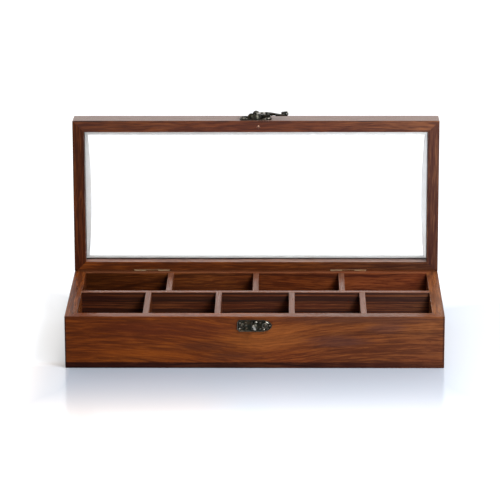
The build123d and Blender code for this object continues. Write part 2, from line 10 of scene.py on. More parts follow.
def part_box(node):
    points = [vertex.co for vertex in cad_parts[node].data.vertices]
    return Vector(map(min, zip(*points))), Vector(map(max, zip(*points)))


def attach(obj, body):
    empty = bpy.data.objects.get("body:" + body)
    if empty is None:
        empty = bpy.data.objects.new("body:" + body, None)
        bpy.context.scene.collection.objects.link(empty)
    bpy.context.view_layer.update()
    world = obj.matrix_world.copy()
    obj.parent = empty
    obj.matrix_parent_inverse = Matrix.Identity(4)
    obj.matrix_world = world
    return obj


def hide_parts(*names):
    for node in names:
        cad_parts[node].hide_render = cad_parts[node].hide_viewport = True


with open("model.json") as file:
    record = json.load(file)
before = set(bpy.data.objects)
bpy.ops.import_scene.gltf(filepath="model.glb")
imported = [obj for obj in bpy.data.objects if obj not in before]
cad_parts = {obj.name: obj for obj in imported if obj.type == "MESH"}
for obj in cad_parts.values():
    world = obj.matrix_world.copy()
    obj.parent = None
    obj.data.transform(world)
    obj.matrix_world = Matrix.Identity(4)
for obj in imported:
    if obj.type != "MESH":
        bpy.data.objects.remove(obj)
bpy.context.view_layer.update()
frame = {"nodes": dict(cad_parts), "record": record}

bl_info = {
    "name": "Spice box finish",
    "version": (1, 0, 0),
    "blender": (4, 5, 0),
    "location": "View3D > Sidebar > Spice Box",
    "description": "Wood, glass and latch detail for the nine-compartment spice box",
    "category": "Object",
}

# Everything is in metres, in the frame of the loaded model, unless a comment says millimetres.
MM = 0.001
HINGE, HOOK = frame["record"]["behaviour"]["joints"][:2]
PIVOT = Vector(HINGE["pos_m"])
OPEN_ANGLE = math.radians(-HINGE["range_deg"][1])
FRONT_LOW, FRONT_HIGH = (Vector(corner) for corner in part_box("front_wall"))
FRONT_Y = FRONT_LOW.y

# Turns a piece built on the closed lid to where the open lid rests.
OPEN_LID = Matrix.Translation(PIVOT) @ Matrix.Rotation(OPEN_ANGLE, 4, "X") @ Matrix.Translation(-PIVOT)

# Points nearer than WELD are one point. Edges are bevelled, and shaded sharp, above these angles.
WELD = 1e-7
BEVEL_ANGLE = math.radians(32)
SHARP_ANGLE = math.radians(38)

# Turns places so that the grain, which runs along the pattern's x, runs along an axis of the box.
GRAIN_TURN = {
    "x": (0.0, 0.0, 0.0),
    "y": (0.0, 0.0, -math.pi / 2),
    "z": (0.0, math.pi / 2, 0.0),
}

# Spread of the bell curve that a bowed grain follows, and depth of the grain's bump
BOW_REACH = 0.040
GRAIN_DEPTH = 0.00012

# Where a band of painted light or shade starts and is full: the rims, whose tops are painted paler, and the
# lip of the open lid's back rail
RIM = ("Z", 0.0425, 0.0431)
LID_LIP = ("Z", 0.0508, 0.0514)

PORE_TONE = (0.018, 0.007, 0.004)
STRIPE_TONE = (0.021, 0.0112, 0.0062)
END_SHADE = (0.022, 0.012, 0.011)
SHEEN_TINT = (1.0, 0.84, 0.77, 1.0)

# How deep the field of a latch plate lies below its border
FIELD_DEPTH = 0.45 * MM

# Turned pieces of the latch, as (radius, height out of the face) in millimetres
NAIL = ((0.0, 0.5), (0.6, 0.5), (0.6, 1.05), (1.35, 1.1), (1.4, 1.3), (1.2, 1.62), (0.7, 1.84), (0.0, 1.9))
COLLAR = (
    (1.55, 0.5), (1.55, 1.15), (1.7, 1.42), (2.0, 1.5), (2.3, 1.3), (2.45, 0.9), (2.45, 0.5), (1.55, 0.5),
)
STUD = (
    (0.0, 0.6), (2.3, 0.6), (2.3, 1.3), (2.1, 1.75), (1.25, 2.2), (1.06, 2.7), (1.06, 4.6), (1.25, 4.95),
    (2.05, 5.0), (2.35, 5.2), (2.4, 5.45), (2.2, 5.85), (1.6, 6.15), (0.8, 6.3), (0.0, 6.33),
)
BOSS = (
    (1.35, 0.6), (4.75, 0.6), (4.8, 1.3), (4.55, 1.9), (4.1, 2.15), (3.75, 2.9), (3.3, 3.6), (2.85, 4.2),
    (2.7, 4.5), (1.35, 4.5), (1.35, 0.6),
)
RIVET = (
    (0.0, -2.0), (1.28, -2.0), (1.28, 5.66), (2.2, 5.68), (2.3, 5.8), (2.25, 6.1), (1.9, 6.6), (1.2, 7.0),
    (0.5, 7.18), (0.0, 7.2),
)
NAIL_STEPS = 28

# The hook lying along the closed lid, in millimetres from its rivet. Its outline is (along, up) points,
# and its cuts are the places along it where the blank can bend.
HOOK_OUTLINE = (
    (-2.9, 0.0), (-2.5, 1.45), (-1.45, 2.5), (0.0, 2.9), (1.6, 2.45), (3.2, 1.75), (5.0, 1.65), (8.0, 1.75),
    (10.5, 2.25), (12.5, 3.1), (14.6, 3.6), (16.6, 3.25), (18.2, 2.5), (20.0, 2.0), (22.0, 2.0), (25.2, 2.1),
    (25.2, -1.3), (22.0, -1.2), (20.0, -1.1), (18.4, -1.2), (17.2, -1.9), (16.3, -1.8), (16.1, -0.6),
    (16.05, 0.4), (15.6, 1.1), (14.63, 1.45), (13.6, 1.1), (13.2, 0.4), (13.15, -0.6), (12.7, -1.4),
    (11.5, -1.3), (10.0, -0.9), (8.0, -0.75), (5.0, -0.95), (3.2, -1.35), (1.6, -2.45), (0.0, -2.9),
    (-1.45, -2.5), (-2.5, -1.45),
)
HUB_EDGE = 3.2
ARM_END = 20.6
TIP = 25.2
HOOK_CUTS = (
    -1.45, 0.0, 1.6, HUB_EDGE, 4.2, 5.0, 6.4, 7.1, 8.0, 8.9, 9.8, 10.5, 12.4, 13.2, 14.6, 16.3, 17.2, 18.3,
    ARM_END, 22.0,
)
# Heights of the hook's underside out of the face: at the hub, at the arm's end and at the claw
HUB_HEIGHT = 4.58
END_HEIGHT = 3.05
CLAW_HEIGHT = 2.75
HOOK_THICKNESS = 1.0

# The camera fitted to the edges of the box in the photograph: its place, and its angles in radians
CAMERA_PLACE = (0.027544, -2.370423, 0.777633)
PITCH, YAW, ROLL = 0.28615, 0.01341, -0.00337


def colour_property(name, description, default):
    """A colour that the sidebar shows."""
    return FloatVectorProperty(
        name=name, description=description, default=default, subtype="COLOR", size=3, min=0.0, max=1.0,
    )


class SpiceBoxWood(bpy.types.PropertyGroup):
    """Tones and gloss of the wood."""

    light: colour_property("Light tone", "Colour between the dark lines of the grain", (0.222, 0.067, 0.0148))
    middle: colour_property("Middle tone", "Main colour of the wood", (0.148, 0.0365, 0.0097))
    dark: colour_property("Dark tone", "Colour of the dark lines of the grain", (0.036, 0.010, 0.005))
    roughness: FloatProperty(
        name="Roughness", description="Roughness of the lacquer", subtype="FACTOR",
        min=0.0, max=1.0, default=0.30,
    )
    ring_width: FloatProperty(
        name="Ring width", description="Distance between the lines of the grain", unit="LENGTH",
        min=0.0005, max=0.02, default=0.0042,
    )


class SpiceBoxLatch(bpy.types.PropertyGroup):
    """Sizes and colours of the latch and the hinges."""

    plate_height: FloatProperty(
        name="Plate height", description="Height of the catch plate; the hook plate is 0.8 mm taller",
        unit="LENGTH", min=0.004, max=0.02, default=0.0097,
    )
    plate_thickness: FloatProperty(
        name="Plate thickness", description="Thickness of both latch plates", unit="LENGTH",
        min=0.0004, max=0.003, default=0.0011,
    )
    bronze: colour_property("Bronze", "Colour of the darkened metal", (0.020, 0.020, 0.014))
    rubbed_or_lit: colour_property("Rubbed metal", "Colour where the metal is worn bright", (0.56, 0.52, 0.45))
    brass: colour_property("Hinge brass", "Colour of the hinges", (1.0, 0.82, 0.52))


class SpiceBoxStage(bpy.types.PropertyGroup):
    """Camera and light of the studio."""

    lens: FloatProperty(
        name="Lens", description="Focal length on a 36 mm wide frame, in millimetres",
        min=20.0, max=400.0, default=217.56,
    )
    key_power: FloatProperty(
        name="Key light", description="Power of the lamp above", unit="POWER",
        min=0.0, max=500.0, default=11.0,
    )
    fill_power: FloatProperty(
        name="Front light", description="Power of the lamp in front", unit="POWER",
        min=0.0, max=500.0, default=20.0,
    )
    ambient: FloatProperty(
        name="Room light", description="Strength of the even light from all sides",
        min=0.0, max=2.0, default=0.42,
    )


# Node helpers


def feed(tree, node, inputs):
    """Give a node's inputs their values, or link them to sockets."""
    for key, value in inputs.items():
        socket = node.inputs[key]
        if isinstance(value, bpy.types.NodeSocket):
            tree.links.new(value, socket)
        else:
            socket.default_value = value


def add(tree, kind, inputs=None, **settings):
    """Add a node, set its settings, feed its inputs and return it."""
    node = tree.nodes.new("ShaderNode" + kind)
    for name, value in settings.items():
        setattr(node, name, value)
    feed(tree, node, inputs or {})
    return node


def maths(tree, operation, *values, clamp=False):
    """One Math node; returns its output socket."""
    node = add(tree, "Math", dict(enumerate(values)), operation=operation, use_clamp=clamp)
    return node.outputs[0]


def times(tree, first, second):
    """Multiply two values; returns the output socket."""
    return maths(tree, "MULTIPLY", first, second)


def blend_colour(tree, factor, first, second, how="MIX"):
    """Mix two colours; returns the colour socket."""
    node = add(tree, "Mix", data_type="RGBA", blend_type=how)
    # A Mix node's colours are its inputs 6 and 7 and its output 2.
    for socket, value in ((node.inputs[0], factor), (node.inputs[6], first), (node.inputs[7], second)):
        if isinstance(value, bpy.types.NodeSocket):
            tree.links.new(value, socket)
        elif isinstance(value, float):
            socket.default_value = value
        else:
            socket.default_value = (*value, 1.0)
    return node.outputs[2]


def between(tree, value, low, high, out_low=0.0, out_high=1.0, ease="SMOOTHSTEP"):
    """Map a value from low..high to out_low..out_high, and hold it beyond; returns the socket."""
    node = add(
        tree, "MapRange",
        {"Value": value, "From Min": low, "From Max": high, "To Min": out_low, "To Max": out_high},
        interpolation_type=ease,
    )
    return node.outputs[0]


def stretched(tree, place, along, across, up=None):
    """Scale a place, so that a pattern on it is drawn out along the grain; returns the socket."""
    scale = (along, across, across if up is None else up)
    return add(tree, "Mapping", {"Vector": place, "Scale": scale}).outputs[0]


def noise(tree, place, scale=1.0, detail=2.0, roughness=0.5):
    """Soft noise over a place; returns its factor socket."""
    inputs = {"Vector": place, "Scale": scale, "Detail": detail, "Roughness": roughness}
    return add(tree, "TexNoise", inputs).outputs["Fac"]


def relief(tree, height, strength, distance):
    """Bump from a height; returns the normal socket."""
    return add(tree, "Bump", {"Height": height, "Strength": strength, "Distance": distance}).outputs[0]


def new_material(name):
    """An empty material; returns it, its tree, its Principled shader and the place on the object."""
    material = bpy.data.materials.new(name)
    material.use_nodes = True
    tree = material.node_tree
    tree.nodes.clear()
    shader = tree.nodes.new("ShaderNodeBsdfPrincipled")
    output = tree.nodes.new("ShaderNodeOutputMaterial")
    tree.links.new(shader.outputs[0], output.inputs[0])
    return material, tree, shader, add(tree, "TexCoord").outputs["Object"]


def paint(node, material):
    """Give a carried-over node its material."""
    for slot in frame["nodes"][node].material_slots:
        slot.material = material


# Wood


def bowed(tree, place, along, bow):
    """Let the grain dip in the middle of the board, as a bell curve; returns the new place."""
    hump = times(tree, along, along)
    hump = times(tree, hump, -1.0 / (2 * BOW_REACH ** 2))
    hump = times(tree, maths(tree, "EXPONENT", hump), bow)
    lift = add(tree, "CombineXYZ", {2: hump}).outputs[0]
    return add(tree, "VectorMath", {0: place, 1: lift}, operation="ADD").outputs[0]


def wavy(tree, place, slow, wave):
    """Let the grain wander in slow waves; returns the new place."""
    waves = add(tree, "TexNoise", {"Vector": slow, "Scale": 1.0, "Detail": 3.0, "Roughness": 0.5})
    centred = add(tree, "VectorMath", {0: waves.outputs["Color"], 1: (0.5, 0.5, 0.5)}, operation="SUBTRACT")
    swing = add(tree, "VectorMath", {0: centred.outputs[0], "Scale": wave}, operation="SCALE")
    return add(tree, "VectorMath", {0: place, 1: swing.outputs[0]}, operation="ADD").outputs[0]


def ring_lines(tree, bent, slow, pith, spacing):
    """Dark lines where the board cuts the tree's rings, from 0 to 1; returns the socket.

    pith is how far the middle of the tree lies below and in front of the pattern's own zero.
    """
    across, height = add(tree, "SeparateXYZ", {0: bent}).outputs[1:]
    above = maths(tree, "ADD", height, pith[0])
    behind = maths(tree, "ADD", across, pith[1])
    above = times(tree, above, above)
    behind = times(tree, behind, behind)
    radius = maths(tree, "SQRT", maths(tree, "ADD", above, behind))
    turns = maths(tree, "DIVIDE", radius, spacing)
    uneven = noise(tree, slow, 0.35, 1.0)
    turns = maths(tree, "ADD", turns, times(tree, uneven, 5.0))
    lines = times(tree, maths(tree, "PINGPONG", turns, 0.5), 2.0)
    which = add(tree, "TexNoise", {"W": turns, "Scale": 0.6, "Detail": 1.0}, noise_dimensions="1D")
    which = which.outputs["Fac"]
    return times(tree, between(tree, lines, 0.5, 1.0), between(tree, which, 0.35, 0.65))


def soft_patch(tree, colour, place, ragged, x, z, half_width, half_height, strength, tint):
    """Recolour a soft area about (x, z), whose edge a noise makes ragged; returns the colour."""
    offset = add(tree, "VectorMath", {0: place, 1: (x, 0.0, z)}, operation="SUBTRACT").outputs[0]
    shares = (1 / half_width, 0.0, 1 / half_height)
    offset = add(tree, "VectorMath", {0: offset, 1: shares}, operation="MULTIPLY").outputs[0]
    reach = add(tree, "VectorMath", {0: offset}, operation="LENGTH").outputs["Value"]
    wander = times(tree, maths(tree, "SUBTRACT", ragged, 0.5), 1.6)
    reach = maths(tree, "ADD", reach, wander)
    return blend_colour(tree, between(tree, reach, 0.2, 1.1, strength, 0.0), colour, tint)


def toned(tree, colour, along, tones):
    """Multiply the colour by factors that change between places along the grain; returns the colour."""
    low, high = tones[0][0], tones[-1][0]
    ramp = add(tree, "ValToRGB", {0: between(tree, along, low, high, ease="LINEAR")})
    ramp.color_ramp.interpolation = "EASE"
    points = ramp.color_ramp.elements
    while len(points) < len(tones):
        points.new(0.5)
    for point, (spot, factor) in zip(points, tones):
        point.position = (spot - low) / (high - low)
        point.color = (*factor, 1.0)
    return blend_colour(tree, 1.0, colour, ramp.outputs[0], "MULTIPLY")


def edge_band(tree, colour, place, fine, axis, start, full, strength, tint, *limits):
    """Paint light or shade along an edge, from start to full along an axis; returns the colour.

    A tint darker than the wood takes the dark streaks first, and a paler one the light streaks.
    limits are further (axis, start, full) that the band is kept to.
    """
    wood = bpy.context.scene.spice_box_wood
    weak, strong = (0.36, 0.64) if sum(tint) < sum(wood.middle) else (0.64, 0.36)
    shade = between(tree, fine, weak, strong, strength ** 2, strength ** 0.5)
    for edge_axis, edge_start, edge_full in [(axis, start, full), *limits]:
        level = add(tree, "SeparateXYZ", {0: place}).outputs[edge_axis]
        shade = times(tree, shade, between(tree, level, edge_start, edge_full))
    return blend_colour(tree, shade, colour, tint)


def finish_board(
    node, grain, shift, pith, bow=0.0, ring=1.0, wave=0.006, contrast=1.0, stripes=0.0,
    tones=(), patches=(), bands=(), sheen=0.0, ior=1.15,
):
    """Give a board its own lacquered dark hardwood, whose grain runs along one axis of the box.

    shift moves the pattern, so that no two boards are alike, and pith places the middle of the
    tree. bow is how far the grain dips in the middle of the board, ring scales the width of the
    rings, and wave is how far the grain wanders. contrast scales the strength of the streaks, and
    stripes is the strength of straight dark stripes. tones are (place along the grain, colour
    factor) pairs. patches and bands hold what soft_patch and edge_band take. sheen and ior set how
    the lacquer shines at a low angle.
    """
    wood = bpy.context.scene.spice_box_wood
    material, tree, shader, place = new_material(node.replace("_", " ") + " wood")
    turned = add(tree, "Mapping", {"Vector": place, "Rotation": GRAIN_TURN[grain]}).outputs[0]
    along = add(tree, "SeparateXYZ", {0: turned}).outputs[0]
    local = add(tree, "Mapping", {"Vector": turned, "Location": shift}).outputs[0]
    if bow:
        local = bowed(tree, local, along, bow)
    slow = stretched(tree, local, 14.0, 40.0)
    bent = wavy(tree, local, slow, wave)
    lines = ring_lines(tree, bent, slow, pith, wood.ring_width * ring)

    # Streaks, fibres and pores, each finer than the last and drawn out along the grain
    broad = noise(tree, stretched(tree, bent, 8.0, 130.0))
    streaks = noise(tree, stretched(tree, bent, 22.0, 460.0), detail=3.0, roughness=0.6)
    fine = noise(tree, stretched(tree, bent, 46.0, 1000.0), roughness=0.6)
    fibres = noise(tree, stretched(tree, bent, 120.0, 2100.0))
    cells = stretched(tree, bent, 240.0, 2400.0)
    cells = add(tree, "TexVoronoi", {"Vector": cells, "Scale": 1.0}).outputs["Distance"]
    pores = between(tree, cells, 0.10, 0.28, 1.0, 0.0)
    pores = times(tree, pores, between(tree, streaks, 0.42, 0.6))
    clouds = noise(tree, slow, scale=0.6)

    # The colour, from the broadest variation to the finest. A streak is (noise, from, full, strength, tone).
    colour = blend_colour(tree, between(tree, clouds, 0.32, 0.66), tuple(wood.middle), tuple(wood.light))
    vein = tuple(0.35 * middle + 0.65 * dark for middle, dark in zip(wood.middle, wood.dark))
    pale = tuple(1.35 * light for light in wood.light)
    palest = tuple(1.4 * light for light in wood.light)
    for source, start, full, strength, tone in (
        (broad, 0.38, 0.70, 0.48, vein),
        (streaks, 0.47, 0.66, 0.48, vein),
        (streaks, 0.47, 0.32, 0.34, pale),
        (fine, 0.49, 0.61, 0.62, vein),
        (fine, 0.46, 0.35, 0.40, palest),
    ):
        amount = between(tree, source, start, full, 0.0, strength * contrast)
        colour = blend_colour(tree, amount, colour, tone)
    colour = blend_colour(tree, times(tree, lines, 0.55 * contrast), colour, tuple(wood.dark))
    if stripes:
        stripe = noise(tree, stretched(tree, bent, 2.0, 60.0, 640.0), detail=1.5)
        colour = blend_colour(tree, between(tree, stripe, 0.42, 0.58, 0.0, stripes), colour, STRIPE_TONE)
    for patch in patches:
        colour = soft_patch(tree, colour, place, broad, *patch)
    colour = blend_colour(tree, between(tree, fibres, 0.3, 0.75, 0.0, 0.30), colour, tuple(wood.dark))
    colour = blend_colour(tree, times(tree, pores, 0.6), colour, PORE_TONE)
    if tones:
        colour = toned(tree, colour, along, tones)
    for band in bands:
        colour = edge_band(tree, colour, place, fine, *band)

    # The lacquer, a little rougher on the streaks and in the pores, and the relief of the grain
    rough = between(tree, streaks, 0.3, 0.7, wood.roughness - 0.04, wood.roughness + 0.08)
    rough = maths(tree, "ADD", rough, times(tree, pores, 0.25))
    height = maths(tree, "SUBTRACT", times(tree, fibres, 0.35), pores)
    height = maths(tree, "SUBTRACT", height, times(tree, lines, 0.4))
    feed(tree, shader, {
        "Base Color": colour, "Roughness": rough, "Normal": relief(tree, height, 0.35, GRAIN_DEPTH),
        "IOR": ior, "Sheen Weight": sheen, "Sheen Roughness": 0.25, "Sheen Tint": SHEEN_TINT,
    })
    paint(node, material)


# Metal


def metal_material(name, dark, rubbed_or_lit, scale, cover, roughness, metallic=1.0, stain=None):
    """Metal with a dark patina that wears bright in random spots, and is bright where the piece's per-point
    attribute says: wear there, or a painted highlight.

    scale is how fine the spots are, cover is the level of their noise below which the patina is
    whole, and stain is the colour of soft areas in the patina.
    """
    material, tree, shader, place = new_material(name)
    spots = noise(tree, place, scale, 5.0, 0.65)
    grit = noise(tree, place, scale * 5.5, 3.0, 0.6)
    mask = maths(tree, "ADD", spots, times(tree, grit, 0.35))
    mask = between(tree, mask, cover, cover + 0.16)
    worn_or_lit = add(tree, "Attribute", attribute_name="worn_or_lit").outputs["Fac"]
    worn_or_lit = times(tree, worn_or_lit, between(tree, grit, 0.3, 0.6, 0.7, 1.1))
    mask = maths(tree, "MAXIMUM", mask, worn_or_lit, clamp=True)
    ground = tuple(dark)
    if stain:
        soft = noise(tree, place, scale * 0.5)
        ground = blend_colour(tree, between(tree, soft, 0.46, 0.62, 0.0, 0.85), ground, stain)
    colour = blend_colour(tree, mask, ground, tuple(rubbed_or_lit))
    rough = between(tree, grit, 0.3, 0.7, roughness, roughness + 0.16)
    normal = relief(tree, spots, 0.35, 0.1 * MM)
    feed(tree, shader, {"Base Color": colour, "Metallic": metallic, "Roughness": rough, "Normal": normal})
    return material


def bronze_material():
    """The latch's darkened bronze, made once."""
    known = bpy.data.materials.get("antique bronze")
    if known:
        return known
    latch = bpy.context.scene.spice_box_latch
    return metal_material(
        "antique bronze", latch.bronze, latch.rubbed_or_lit, scale=700.0, cover=0.82, roughness=0.30,
        stain=(0.050, 0.034, 0.020),
    )


# Mesh helpers


def start_piece():
    """A bmesh with the layer that says where its metal is bright, from wear or as a painted highlight."""
    bm = bmesh.new()
    bm.verts.layers.float.new("worn_or_lit")
    return bm


def finish_piece(name, bm, material, body, replaced, bevel=0.0):
    """Make an object from a bmesh, in place, hang it on the empty of the body it rides on, and hide the nodes
    it stands for.

    A piece of the lid or the hook comes as built on the closed lid, and is turned open here.
    """
    bmesh.ops.remove_doubles(bm, verts=bm.verts, dist=WELD)
    if bevel:
        sharp = [edge for edge in bm.edges if edge.is_manifold and edge.calc_face_angle(0.0) > BEVEL_ANGLE]
        bmesh.ops.bevel(
            bm, geom=sharp, offset=bevel, offset_type="OFFSET", affect="EDGES", segments=2,
            profile=0.5, material=-1, clamp_overlap=True,
        )
    bmesh.ops.recalc_face_normals(bm, faces=bm.faces)
    if body != "base":
        bmesh.ops.transform(bm, matrix=OPEN_LID, verts=bm.verts)
    mesh = bpy.data.meshes.new(name)
    bm.to_mesh(mesh)
    bm.free()
    piece = bpy.data.objects.new(name, mesh)
    bpy.context.scene.collection.objects.link(piece)
    for polygon in mesh.polygons:
        polygon.use_smooth = True
    mesh.set_sharp_from_angle(angle=SHARP_ANGLE)
    mesh.materials.append(material)
    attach(piece, body)
    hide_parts(*replaced)


def finish_bronze(name, bm, body, replaced, bevel=0.0):
    """Finish a piece of the latch, which stands for one node."""
    finish_piece(name, bm, bronze_material(), body, (replaced,), bevel)


def brighten(bm, verts, amount):
    """Mark points as bright, from 0 to 1: wear, or a painted highlight."""
    layer = bm.verts.layers.float["worn_or_lit"]
    for vert in verts:
        vert[layer] = amount


def raise_faces(bm, faces, move, keep=True):
    """Extrude faces and move the new ones, keeping the old ones or not; returns new points and faces."""
    grown = bmesh.ops.extrude_face_region(bm, geom=faces, use_keep_orig=keep)["geom"]
    moved = [item for item in grown if isinstance(item, bmesh.types.BMVert)]
    bmesh.ops.translate(bm, verts=moved, vec=move)
    return moved, [item for item in grown if isinstance(item, bmesh.types.BMFace)]


def lathe(bm, profile, centre, worn_or_lit, steps=40):
    """Spin a profile of (radius, height) in millimetres about the front face's outward normal at centre.

    Height is measured out of the front face, towards -Y.
    """
    known = len(bm.verts)
    x, y, z = centre
    verts = [bm.verts.new((x + radius * MM, y - height * MM, z)) for radius, height in profile]
    edges = [bm.edges.new(pair) for pair in zip(verts, verts[1:])]
    bmesh.ops.spin(
        bm, geom=verts + edges, cent=centre, axis=(0.0, 1.0, 0.0), angle=2 * math.pi, steps=steps,
        use_merge=True, use_duplicate=False,
    )
    bm.verts.ensure_lookup_table()
    brighten(bm, bm.verts[known:], worn_or_lit)


def plate(bm, points, low, high, centre, worn_or_lit=0.0):
    """A flat plate from its outline, standing from low to high out of the front face; returns its top."""
    verts = [bm.verts.new((centre[0] + x, centre[1] - low, centre[2] + z)) for x, z in points]
    face = bm.faces.new(verts)
    moved, top = raise_faces(bm, [face], (0.0, -(high - low), 0.0))
    brighten(bm, moved, worn_or_lit)
    return top[0]


def plate_outline(start, end, half, steps=9):
    """Outline of a latch plate: nipped corners at the left, a rounded point at the right."""
    nip = ((0.0, 1.5), (0.7, 1.3), (1.0, 0.7), (1.0, 0.0))
    points = [(start + x * MM, half - z * MM) for x, z in nip]
    shoulder = end - 8.5 * MM
    upper = []
    for step in range(steps):
        angle = step / steps * math.pi / 2
        upper.append((shoulder + (end - shoulder) * math.sin(angle), half * math.cos(angle) ** 1.05))
    points += upper
    points.append((end, 0.0))
    points += [(x, -z) for x, z in reversed(upper)]
    points += [(start + x * MM, z * MM - half) for x, z in reversed(nip)]
    return points


def relief_plate(bm, start, end, half, thickness, centre, worn_or_lit):
    """Latch plate with a raised border round a sunk field, a little brighter at its left end."""
    top = plate(bm, plate_outline(start, end, half), 0.0, thickness, centre, worn_or_lit)
    for border in (0.5 * MM, 0.25 * MM):
        bmesh.ops.inset_region(bm, faces=[top], thickness=border, depth=0.0, use_even_offset=True)
    bmesh.ops.translate(bm, verts=top.verts[:], vec=(0.0, FIELD_DEPTH, 0.0))
    brighten(bm, top.verts, 0.0)
    left, raised = start + 0.3 * MM, centre[1] - 0.6 * thickness
    brighten(bm, [vert for vert in bm.verts if vert.co.x < left and vert.co.y < raised], 0.3)


def bead(bm, centre, radius, height, stretch, turn, worn_or_lit):
    """A raised bead or leaf of the plate's ornament, flattened against the plate."""
    made = bmesh.ops.create_uvsphere(bm, u_segments=14, v_segments=8, radius=radius)
    shape = (
        Matrix.Translation(centre)
        @ Matrix.Rotation(turn, 4, "Y")
        @ Matrix.Diagonal((stretch[0], height / radius, stretch[1], 1.0))
    )
    bmesh.ops.transform(bm, matrix=shape, verts=made["verts"])
    brighten(bm, made["verts"], worn_or_lit)


def closed_hook_pivot():
    """Where the hook's rivet stands on the closed lid's front face."""
    return OPEN_LID.inverted() @ Vector(HOOK["pos_m"])


# Pieces


class SPICEBOX_OT_case(bpy.types.Operator):
    """Finish the walls and the bottom panel"""

    bl_idname = "spicebox.case"
    bl_label = "Case"

    def execute(self, context):
        # The front wall's patches, from the left: dark red, orange, two dark streaks, a pale flame
        # under the catch, two brown streaks, and a dark strip under the rim.
        finish_board(
            "front_wall", "x", shift=(0.02, 0.0, -0.02), pith=(-0.09, 0.10), bow=0.010, ring=1.5, wave=0.004,
            contrast=0.95,
            # Partly the wood's own colour and partly painted light: darker and redder at the left, greyer and
            # bluer at the right as a painted reflection
            tones=(
                (-0.152, (0.84, 0.62, 0.33)), (-0.06, (1.12, 0.97, 0.60)), (0.02, (1.08, 0.98, 0.92)),
                (0.075, (0.94, 0.97, 1.10)), (0.152, (0.95, 1.02, 1.45)),
            ),
            patches=(
                (-0.085, 0.033, 0.075, 0.010, 0.60, (0.080, 0.018, 0.010)),
                (-0.10, 0.013, 0.070, 0.006, 0.60, (0.24, 0.066, 0.012)),
                (-0.045, 0.018, 0.030, 0.005, 0.65, (0.060, 0.018, 0.012)),
                (-0.022, 0.010, 0.026, 0.005, 0.60, (0.055, 0.018, 0.012)),
                (0.012, 0.026, 0.030, 0.012, 0.35, (0.30, 0.100, 0.024)),
                (0.068, 0.022, 0.026, 0.006, 0.58, (0.074, 0.028, 0.021)),
                (0.105, 0.034, 0.018, 0.005, 0.50, (0.074, 0.028, 0.021)),
                (0.070, 0.0415, 0.095, 0.004, 0.68, (0.085, 0.028, 0.014)),
            ),
            # Painted shade along both ends of the wall
            bands=(
                ("X", 0.1503, 0.1519, 0.85, END_SHADE),
                ("X", -0.1507, -0.1521, 0.80, END_SHADE),
            ),
        )
        finish_board(
            "back_wall", "x", shift=(0.31, 0.02, 0.07), pith=(-0.07, 0.03), ring=0.9, contrast=1.15,
            # Painted shade: darker towards the left, where less light reaches the compartments, and paler and
            # bluer towards the right
            tones=(
                (-0.143, (0.32, 0.29, 0.27)), (-0.105, (0.46, 0.41, 0.38)), (-0.035, (0.86, 0.86, 0.88)),
                (0.035, (0.78, 0.66, 0.72)), (0.10, (1.02, 0.88, 1.27)), (0.143, (1.10, 0.95, 1.40)),
            ),
            # Painted light: the top of the rim is painted paler
            bands=((*RIM, 0.50, (0.24, 0.080, 0.034)),),
        )
        finish_board(
            "left_wall", "y", shift=(0.11, 0.04, 0.02), pith=(-0.05, 0.05), contrast=1.5,
            tones=((-0.065, (0.93, 0.90, 0.89)), (0.065, (0.90, 0.86, 0.88))),
        )
        finish_board(
            "right_wall", "y", shift=(-0.17, 0.09, 0.05), pith=(-0.05, 0.05), contrast=0.9,
            # Painted light and reflection: paler and bluer than the left wall
            tones=((-0.065, (1.38, 1.65, 2.1)), (0.065, (1.28, 1.55, 2.1))),
        )
        finish_board(
            "bottom_panel", "x", shift=(0.07, -0.05, 0.11), pith=(-0.2, 0.15),
            tones=((-0.152, (0.21, 0.16, 0.26)), (0.0, (0.30, 0.29, 0.50)), (0.152, (0.52, 0.52, 0.90))),
        )
        return {"FINISHED"}


class SPICEBOX_OT_dividers(bpy.types.Operator):
    """Finish the dividers"""

    bl_idname = "spicebox.dividers"
    bl_label = "Dividers"

    def execute(self, context):
        finish_board(
            "long_divider", "x", shift=(-0.21, 0.03, 0.13), pith=(-0.06, 0.02), wave=0.003, contrast=0.8,
            stripes=0.78,
            # Painted shade and light: darker towards the left, paler and bluer towards the right; the purple
            # is partly the wood's own
            tones=(
                (-0.143, (0.44, 0.39, 0.66)), (-0.05, (0.76, 0.81, 1.20)),
                (0.05, (0.90, 1.04, 1.76)), (0.143, (1.06, 1.30, 2.5)),
            ),
            # Painted light: the top of the rim is painted paler
            bands=((*RIM, 0.85, (0.19, 0.078, 0.046)),),
        )
        cross = [node for node in frame["nodes"] if node.startswith(("back_divider", "front_divider"))]
        for number, node in enumerate(sorted(cross)):
            finish_board(
                node, "y", shift=(0.13 * number, 0.05 * number, 0.031 * number), pith=(-0.05, 0.04),
                tones=((-0.06, (0.78, 0.82, 0.95)), (0.06, (0.72, 0.76, 0.90))),
                # Painted light: the tops of the dividers are painted paler
                bands=((*RIM, 0.75, (0.16, 0.066, 0.040)),),
            )
        return {"FINISHED"}


